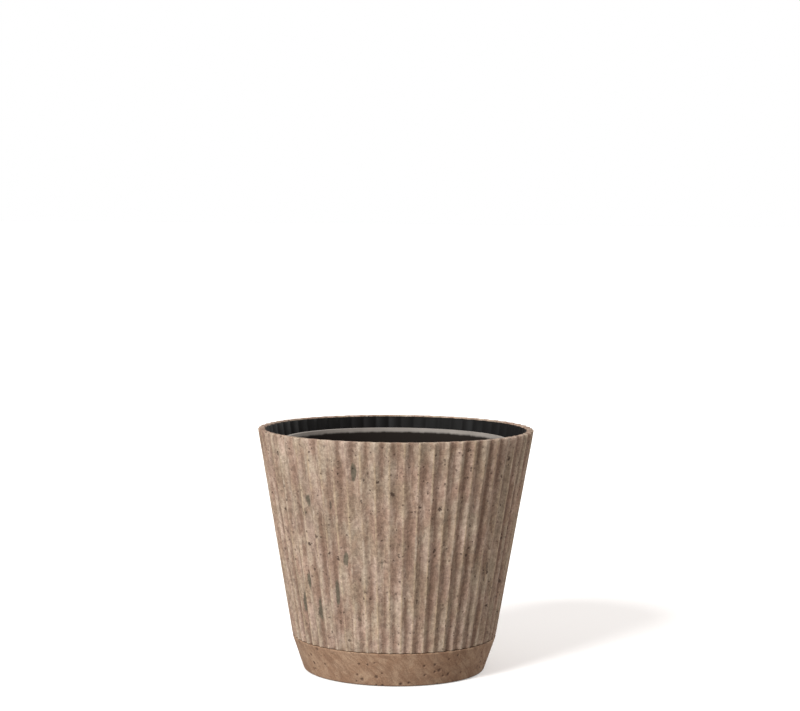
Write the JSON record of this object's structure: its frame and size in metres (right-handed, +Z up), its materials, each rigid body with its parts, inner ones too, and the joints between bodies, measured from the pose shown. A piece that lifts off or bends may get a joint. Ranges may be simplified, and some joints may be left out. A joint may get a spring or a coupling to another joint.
{
  "type": "planter pot",
  "caption": "Tapered round planter with fluted sides, a thin black liner, a plain fitted saucer on soft pads, and a plastic grow pot that lifts out.",
  "frame": {"origin": "on the ground under the middle of the saucer, in the plane of the pads' undersides", "axes": "+Z up along the planter's own axis; -Y towards the viewer; the fluted wall is the same all round"},
  "size_m": [0.1448, 0.1448, 0.127],
  "materials": {
    "pot_stone": "matte",
    "saucer_stone": "matte",
    "liner_black": "satin",
    "grow_pot_plastic": "satin",
    "pad_rubber": "matte"
  },
  "bodies": {
    "saucer_base": {"saucer": "saucer_stone", "pad_1": "pad_rubber", "pad_2": "pad_rubber", "pad_3": "pad_rubber", "pad_4": "pad_rubber"},
    "planter": {"fluted_pot": "pot_stone", "inner_liner": "liner_black"},
    "grow_pot": {"grow_pot": "grow_pot_plastic"}
  },
  "joints": [
    {"name": "pot_lift", "type": "slide", "parent": "saucer_base", "child": "planter", "axis": [0, 0, 1], "range_m": [0, 0.06]},
    {"name": "grow_pot_lift", "type": "slide", "parent": "planter", "child": "grow_pot", "axis": [0, 0, 1], "range_m": [0, 0.13]}
  ]
}
